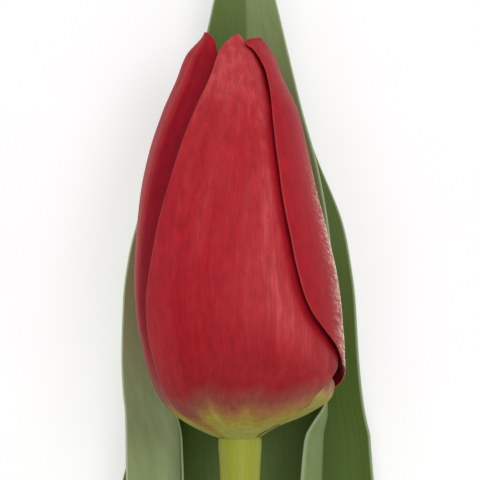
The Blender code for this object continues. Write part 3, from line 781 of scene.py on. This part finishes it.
class TULIP_OT_petals(bpy.types.Operator):
    """Lay the six petals of the bud, with their veins, waves and thin margins"""
    bl_idname = "tulip.petals"
    bl_label = "Petals"

    ROWS = 150
    COLUMNS = 96

    def relief(self, node, seed, height):
        """The rise of a petal's face over its smooth shape: veins, slow swells and marks of its own."""
        def rise(share, across):
            fade = ease(share, 0.0, 0.15) * ease(share, 1.0, 0.85)
            inside = ease(np.abs(across), 1.0, 0.9)
            veins = waves(across + 0.02 * waves(share, (2, 3, 5), seed), (19, 29, 37, 47), seed)
            veins = veins * height * fade * waves(share, (1, 2, 3), seed + 2)
            swell = waves(share * 2, (2, 3, 5), seed + 1) * 0.12 * MM * across**2 * fade
            midrib = -np.exp(-((across - 0.02) / 0.025) ** 2) * 0.07 * MM * ease(share, 0.45, 0.8)
            total = veins + swell + midrib * inside
            if node == "front_tepal":
                spot = ease(across, 0.1, 0.45) * ease(across, 1.0, 0.8)
                spot = spot * ease(share, 0.12, 0.26) * ease(share, 0.52, 0.34)
                drift = across + 0.06 * waves(share, (3, 5, 7), 90)
                ripple = waves(drift, (41, 53, 67), 91) * 0.07 * MM * spot
                total += ripple * waves(share * 3, (4, 7, 9), 92)
            if node == "left_tepal":
                lasts = ease(share, 0.1, 0.3) * ease(share, 1.0, 0.9)
                total -= 0.42 * MM * np.exp(-((across - 0.68) / 0.13) ** 2) * lasts
                total += 0.22 * MM * np.exp(-((across - 0.44) / 0.12) ** 2) * lasts
            if node == "right_tepal":
                hem = np.exp(-((across + 1.0) / 0.10) ** 2)
                total += 0.10 * MM * waves(share * 2, (5, 8, 11), 93) * hem * fade
            return total
        return rise

    def paint(self, node, along, across):
        """Numbers for the material at each place of a petal: the shade, a little tone that varies at
        random with painted shade above zero and painted highlight below it; how far the foot's green
        climbs; and the painted rim highlight, pale streaks down the right petal's side."""
        left, right = read_rows(TEPALS[node], along)[:2]
        angle = mix(left, right, (across + 1) / 2)
        shade = 0.08 * waves(across, (3, 5, 8), len(node)) + 0 * along
        foot = 0.008 * waves(across, (3, 5), len(node) + 1) + 0 * along
        rim_highlight = 0 * along
        if node == "front_tepal":
            foot = foot + 0.019 + 0.018 * ease(across, 0.35, 0.95)
            foot = foot - 0.022 * ease(across, -0.45, -0.75)
            foot = foot + 0.020 * np.exp(-((across + 0.36) / 0.07) ** 2)
            # Painted highlight: the shade goes below zero, paler, right of the middle and towards the
            # tip
            shade = shade - 0.55 * np.exp(-((across - 0.42) / 0.26) ** 2) * ease(along, 0.12, 0.3)
            shade = shade - 0.45 * ease(along, 0.70, 0.95)
            dip = 0.25 * np.exp(-((along - 0.17) / 0.09) ** 2)
            shade = shade + dip * np.exp(-(across / 0.5) ** 2)
            # Painted shadow beside the right petal's overhanging margin, and painted shade on the strip
            # of this petal that runs under it
            margin = read_rows(TEPALS["right_tepal"], along)[0]
            right_margin_shadow = 1.1 * np.exp(-np.maximum(margin - angle, 0) / 5.0)
            shade = shade + right_margin_shadow * ease(along, 0.19, 0.26)
            shade = shade + 1.2 * ease(angle, 59, 63) * ease(along, 0.155, 0.175)
        elif node == "left_tepal":
            # Painted shade: a deep maroon band in the valley under the front petal's margin
            lasts = ease(along, 0.12, 0.3) * ease(along, 1.0, 0.93)
            shade = shade + 0.05 + 1.1 * ease(across, 0.46, 0.52) * lasts
            foot = foot + 0.02
        elif node == "right_tepal":
            shade = shade + 0.20
            foot = foot + 0.01
            # Painted rim highlight along the right petal's side, where it turns from view
            rim_highlight = ease(angle, 57, 86) * ease(angle, 104, 90)
            rim_highlight = rim_highlight * ease(along, 0.12, 0.2) * ease(along, 0.75, 0.5)
        else:
            # Painted shade: the inner petals, inside the bud, are painted deep maroon
            shade = shade + 0.9
            foot = foot + (0.072 if node == "inner_right_tepal" else 0.050)
        return shade, foot, rim_highlight

    def execute(self, context):
        sizes, colours = context.scene.tulip_sizes, context.scene.tulip_colours
        outer = petal_material("petal flesh", colours)
        for index, (node, rows) in enumerate(TEPALS.items()):
            rise = self.relief(node, index * 10, sizes.vein_relief)
            piece, along, across = lay_sheet(
                node.replace("tepal", "petal"), self.ROWS, self.COLUMNS,
                lambda share, u, rows=rows, rise=rise: petal_points(rows, share, u, rise),
                rows[0][0], rows[-1][0], 0.4,
            )
            shade, foot, rim_highlight = self.paint(node, along, across)
            for label, values in (("shade", shade), ("foot", foot), ("rim_highlight", rim_highlight)):
                piece.data.attributes.new(label, "FLOAT", "POINT").data.foreach_set("value", values)
            piece.data.materials.append(outer)
            thicken(piece, sizes.petal_wall, 1 - np.abs(across) ** 4)
            keep(piece, "tepal_red", node)
        return {"FINISHED"}


class TULIP_OT_leaves(bpy.types.Operator):
    """Sweep the four leaves along the stem, with their ribs, rolled margins, waxy bloom and painted
    light and shade
    """
    bl_idname = "tulip.leaves"
    bl_label = "Leaves"

    ROWS = 200
    COLUMNS = 96

    def wax_and_painted_light(self, node, along, across):
        """How much pale bloom each leaf carries, from 0 to 1, with painted light and shade in it."""
        if node == "tall_leaf":
            # Paler right of the keel and on the rolled right margin: partly the waxier face, partly
            # painted light on the lit side of the fold; dark green low under the bud as painted shade
            tip = mix(0.08, 0.36, ease(across, 0.02, 0.16))
            rolled = ease(across, 0.55, 0.8)
            return np.maximum(mix(0.05, tip, ease(along, 0.2, 0.6)), 0.21 * rolled)
        if node == "left_leaf":
            # The left leaf lightened towards the bud's tip: its waxy bloom, with painted light where it
            # stands beside the bud
            return mix(0.40, 1.15, ease(along, -0.25, 0.32)) + 0 * across
        if node == "right_leaf":
            # The right leaf kept dark green: its barer face, with painted shade under the tall leaf and
            # the bud
            return mix(0.01, 0.09, ease(along, 0.0, 0.6))
        return 0.12 + 0 * along

    def execute(self, context):
        sizes, colours = context.scene.tulip_sizes, context.scene.tulip_colours
        skin = leaf_material("leaf skin", colours)
        for index, (node, rows) in enumerate(LEAVES.items()):
            piece, along, across = lay_sheet(
                node.replace("leaf", "blade"), self.ROWS, self.COLUMNS,
                lambda place, u, rows=rows: leaf_points(rows, place, u),
                rows[0][0], rows[-1][0], 0.3,
            )
            ribs = waves(across, (11, 17, 23, 31), index * 7) * 0.012 * MM
            mesh = piece.data
            places = np.empty(len(mesh.vertices) * 3)
            mesh.vertices.foreach_get("co", places)
            places = places.reshape(-1, 3)
            normals = grid_normals(places, self.ROWS + 1, self.COLUMNS + 1)
            places = places + normals * ribs[:, None]
            mesh.vertices.foreach_set("co", places.ravel())
            # Bloom amount, with painted light and shade in it
            bloom = self.wax_and_painted_light(node, along, across)
            mesh.attributes.new("wax_and_painted_light", "FLOAT", "POINT").data.foreach_set("value", bloom)
            mesh.materials.append(skin)
            thicken(piece, sizes.leaf_wall, 1 - np.abs(across) ** 4)
            keep(piece, "leaf_green", node)
        return {"FINISHED"}


class TULIP_OT_stem(bpy.types.Operator):
    """Extrude the stem ring by ring from its cut end into the bud"""
    bl_idname = "tulip.stem"
    bl_label = "Stem"

    RINGS = 90
    SIDES = 48

    def execute(self, context):
        cut = Vector((0.0, -STEM_LENGTH, STEM_CUT_RADIUS))
        bpy.ops.object.select_all(action="DESELECT")
        bpy.ops.mesh.primitive_circle_add(
            vertices=self.SIDES, radius=STEM_CUT_RADIUS * 0.93, fill_type="NGON",
            location=BUD_BASE + cut, rotation=(math.pi / 2, 0, 0),
        )
        piece = context.object
        piece.name = piece.data.name = "stalk"
        bpy.ops.object.transform_apply(location=True, rotation=True, scale=True)
        bpy.ops.object.mode_set(mode="EDIT")
        bpy.ops.mesh.select_all(action="SELECT")
        here, radius = cut, STEM_CUT_RADIUS * 0.93
        stops = [(-STEM_LENGTH + 0.3 * MM, STEM_CUT_RADIUS)]
        for y in np.linspace(-STEM_LENGTH + 1.5 * MM, -1.6 * MM, self.RINGS):
            swell = STEM_SWELL * float(ease(y, -STEM_SWELL_LENGTH, -1.0 * MM))
            stops.append((y, float(stem_radius(y)) + swell))
        neck = 0.18 * BUD_HALF_WIDTH - TEPAL_THICKNESS / 2 - CLEARANCE
        collar = STEM_TOP_RADIUS + STEM_SWELL
        stops += [
            (-0.9 * MM, collar), (-0.5 * MM, collar + 0.02 * MM), (-0.15 * MM, collar - 0.05 * MM),
            (0.15 * MM, collar - 0.2 * MM), (0.35 * MM, collar - 0.5 * MM), (0.45 * MM, neck),
            (0.03 * BUD_LENGTH, neck), (0.045 * BUD_LENGTH, neck * 0.8),
        ]
        for y, wanted in stops:
            there = Vector((0.0, y, float(stem_height(y))))
            bpy.ops.mesh.extrude_region_move(TRANSFORM_OT_translate={"value": there - here})
            bpy.ops.transform.resize(value=(wanted / radius,) * 3, center_override=BUD_BASE + there)
            here, radius = there, wanted
        bpy.ops.mesh.select_all(action="SELECT")
        bpy.ops.mesh.normals_make_consistent(inside=False)
        bpy.ops.object.mode_set(mode="OBJECT")
        mesh = piece.data
        places = np.empty(len(mesh.vertices) * 3)
        mesh.vertices.foreach_get("co", places)
        places = places.reshape(-1, 3) - np.array(BUD_BASE)
        side = places[:, 0], places[:, 2] - stem_height(places[:, 1])
        for label, values in (
            ("along", places[:, 1] / STEM_LENGTH * 4),
            ("across", np.arctan2(side[0], side[1])),
            ("pith", ease(places[:, 1], -STEM_LENGTH + 0.2 * MM, -STEM_LENGTH)),
        ):
            mesh.attributes.new(label, "FLOAT", "POINT").data.foreach_set("value", values)
        mesh.materials.append(stem_material(context.scene.tulip_colours))
        bpy.ops.object.shade_smooth_by_angle(angle=math.radians(50))
        keep(piece, "stem_green", "stem")
        return {"FINISHED"}


class TULIP_OT_heart(bpy.types.Operator):
    """Give the pistil and stamens inside the bud their finish"""
    bl_idname = "tulip.heart"
    bl_label = "Heart"

    def execute(self, context):
        pistil = heart_material("pistil flesh", (0.35, 0.40, 0.12, 1), (0.55, 0.56, 0.22, 1), 400)
        anther = heart_material(
            "anther pollen", (0.012, 0.008, 0.02, 1), (0.05, 0.03, 0.06, 1), 900,
        )
        for name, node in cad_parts.items():
            if name == "pistil":
                node.material_slots[0].material = pistil
            elif name.startswith("stamen"):
                node.material_slots[0].material = anther
        return {"FINISHED"}


class TULIP_OT_stage(bpy.types.Operator):
    """Set the floor, the soft lights and the camera that looks straight down on the bud"""
    bl_idname = "tulip.stage"
    bl_label = "Stage"

    def light(self, name, place, target, width, height, power, colour=(1, 1, 1)):
        lamp = bpy.data.lights.new(name, "AREA")
        lamp.shape = "RECTANGLE"
        lamp.size, lamp.size_y, lamp.energy, lamp.color = width, height, power, colour
        holder = bpy.data.objects.new(name, lamp)
        bpy.context.collection.objects.link(holder)
        holder.location = place
        holder.rotation_euler = (target - place).to_track_quat("-Z", "Y").to_euler()
        holder.visible_camera = False
        return holder

    def execute(self, context):
        sizes = context.scene.tulip_sizes
        bpy.ops.object.select_all(action="DESELECT")
        bpy.ops.mesh.primitive_plane_add(size=12, location=(0, 0, CAD_BOX[0].z))
        floor = context.object
        floor.name = "floor"
        material, tree, shader = new_material("floor", roughness=0.9, specular=0.1)
        grain = object_noise(tree, 40, 2)
        tone = ramp(tree, grain, ((0.3, grey(0.49)), (0.7, grey(0.51))))
        tree.links.new(tone, shader.inputs["Base Color"])
        shader.inputs["Emission Color"].default_value = (1, 1, 1, 1)
        shader.inputs["Emission Strength"].default_value = 0.50
        floor.data.materials.append(material)

        bud = BUD_BASE + Vector((0, BUD_LENGTH / 2, BUD_HEIGHT))
        self.light("overhead", bud + Vector((0.0, 0.1, 1.5)), bud, 1.8, 1.8, 13)
        self.light("key", bud + Vector((0.5, 0.3, 1.15)), bud, 0.5, 0.6, 3.5)
        self.light("rim", bud + Vector((0.9, 0.0, 0.1)), bud, 0.06, 0.9, 0.4)

        world = bpy.data.worlds.new("studio")
        context.scene.world = world
        world.use_nodes = True
        sky = world.node_tree.nodes["Background"]
        sky.inputs["Color"].default_value = (1, 1, 1, 1)
        sky.inputs["Strength"].default_value = 0.46

        lens = bpy.data.cameras.new("camera")
        lens.sensor_width = 36
        lens.lens = 36 * sizes.camera_height / sizes.view_width
        camera = bpy.data.objects.new("camera", lens)
        context.collection.objects.link(camera)
        look_at = BUD_LENGTH * 0.488
        camera.location = BUD_BASE + Vector((0, look_at, BUD_HEIGHT + sizes.camera_height))
        camera.rotation_euler = (0, 0, 0)
        context.scene.camera = camera
        context.scene.view_settings.view_transform = "Standard"
        return {"FINISHED"}


class TULIP_PT_panel(bpy.types.Panel):
    """The tulip's operators, in the 3D view's sidebar"""
    bl_idname = "TULIP_PT_panel"
    bl_label = "Cut tulip"
    bl_space_type = "VIEW_3D"
    bl_region_type = "UI"
    bl_category = "Tulip"

    def draw(self, context):
        for group in (context.scene.tulip_sizes, context.scene.tulip_colours):
            for name in group.__annotations__:
                self.layout.prop(group, name)
        for operator in OPERATORS:
            self.layout.operator(operator.bl_idname)


OPERATORS = (TULIP_OT_petals, TULIP_OT_leaves, TULIP_OT_stem, TULIP_OT_heart, TULIP_OT_stage)
CLASSES = (TulipSizes, TulipColours, *OPERATORS, TULIP_PT_panel)


def register():
    for each in CLASSES:
        bpy.utils.register_class(each)
    bpy.types.Scene.tulip_sizes = bpy.props.PointerProperty(type=TulipSizes)
    bpy.types.Scene.tulip_colours = bpy.props.PointerProperty(type=TulipColours)


def unregister():
    del bpy.types.Scene.tulip_colours, bpy.types.Scene.tulip_sizes
    for each in reversed(CLASSES):
        bpy.utils.unregister_class(each)


def main():
    register()
    bpy.ops.tulip.petals()
    bpy.ops.tulip.leaves()
    bpy.ops.tulip.stem()
    bpy.ops.tulip.heart()
    bpy.ops.tulip.stage()


if __name__ == "__main__":
    main()
